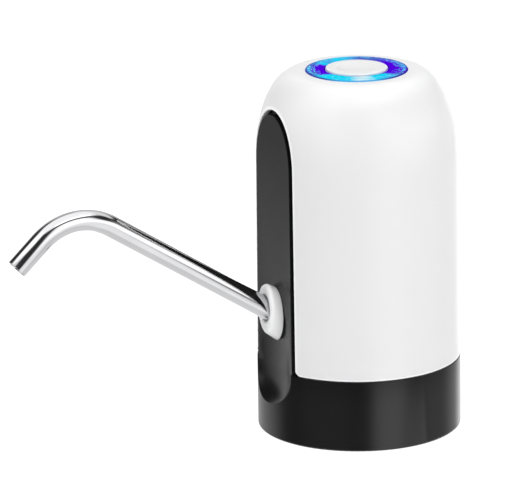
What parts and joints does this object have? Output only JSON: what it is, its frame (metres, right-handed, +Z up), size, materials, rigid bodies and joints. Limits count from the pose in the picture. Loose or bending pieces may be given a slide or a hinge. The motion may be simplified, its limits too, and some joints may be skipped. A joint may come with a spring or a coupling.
{
  "type": "bottled water pump",
  "caption": "Round rechargeable pump that stands on a water bottle's neck, with a flat front panel, a bent steel spout and a lit push button on its domed top.",
  "frame": {"origin": "centre of the neck socket's mouth, on the body's axis, level with the surface that the pump stands on", "axes": "+Z up along the body's axis; -Y to the front, the way that the spout points; +X to the right of someone facing the panel's back"},
  "size_m": [0.073, 0.17, 0.1314],
  "materials": {
    "white_cover": "satin moulded",
    "black_housing": "fine satin moulded",
    "clear_silicone": "soft, cloudy",
    "black_rubber": "soft matt",
    "white_fitting": "moulded",
    "grey_collar": "satin moulded",
    "polished_steel": "polished stainless steel",
    "light_ring": "clear, lit blue",
    "white_button": "satin moulded",
    "circuit_board": "solder mask",
    "zinc_screws": "zinc plated",
    "lamp_bodies": "moulded",
    "switch_black": "moulded",
    "pump_plastic": "moulded",
    "motor_steel": "nickel plated",
    "motor_cap": "moulded",
    "magnet_grey": "sintered",
    "rotor_copper": "enamelled wire on steel",
    "cam_plastic": "moulded",
    "cell_wrap": "shrink wrapped",
    "chassis_plastic": "moulded",
    "socket_metal": "nickel plated",
    "lead_cover": "insulated wire"
  },
  "bodies": {
    "root": {"outer_shell": "white_cover", "base_housing": "black_housing", "neck_seal": "clear_silicone", "neck_grip": "black_rubber", "inlet_fitting": "white_fitting", "inlet_nut": "white_fitting", "spout_collar": "grey_collar", "light_ring": "light_ring", "control_board": "circuit_board", "board_screws": "zinc_screws", "board_lights": "lamp_bodies", "switch_body": "switch_black", "pump_cover": "pump_plastic", "valve_plate": "pump_plastic", "diaphragm": "black_rubber", "pump_case": "pump_plastic", "pump_screws": "zinc_screws", "motor_can": "motor_steel", "motor_end_cap": "motor_cap", "motor_magnets": "magnet_grey", "inlet_hose": "clear_silicone", "outlet_hose": "clear_silicone", "battery_cell": "cell_wrap", "chassis": "chassis_plastic", "foot_screws": "zinc_screws", "usb_shell": "socket_metal", "charge_board": "circuit_board", "battery_leads": "lead_cover", "motor_leads": "lead_cover", "charge_leads": "lead_cover"},
    "button": {"button_cap": "white_button", "switch_plunger": "switch_black"},
    "spout_seat": {"spout_sleeve": "clear_silicone"},
    "spout": {"spout_tube": "polished_steel"},
    "rotor": {"motor_rotor": "rotor_copper", "motor_shaft": "motor_steel", "eccentric": "cam_plastic"},
    "rocker": {"wobble_plate": "cam_plastic"}
  },
  "joints": [
    {"name": "button_press", "type": "slide", "parent": "root", "child": "button", "axis": [0, 0, -1], "range_m": [0, 0.0006], "stiffness_N_per_m": 200, "springref_m": -0.002},
    {"name": "spout_turn", "type": "hinge", "parent": "root", "child": "spout_seat", "pos_m": [0, -0.03285, 0.0449], "axis": [0, -0.8406, 0.5417], "continuous": true},
    {"name": "spout_pull", "type": "slide", "parent": "spout_seat", "child": "spout", "axis": [0, -0.8406, 0.5417], "range_m": [0, 0.02]},
    {"name": "motor_spin", "type": "hinge", "parent": "root", "child": "rotor", "pos_m": [-0.014, 0.005, 0.0767], "axis": [0, 0, 1], "continuous": true, "deforming": ["diaphragm"]},
    {"name": "rocker_turn", "type": "hinge", "parent": "rotor", "child": "rocker", "pos_m": [-0.014, 0.005, 0.0618], "axis": [0.1045, 0, 0.9945], "continuous": true}
  ],
  "couplings": [
    {"joint": "rocker_turn", "follows": "motor_spin", "ratio": -1}
  ]
}
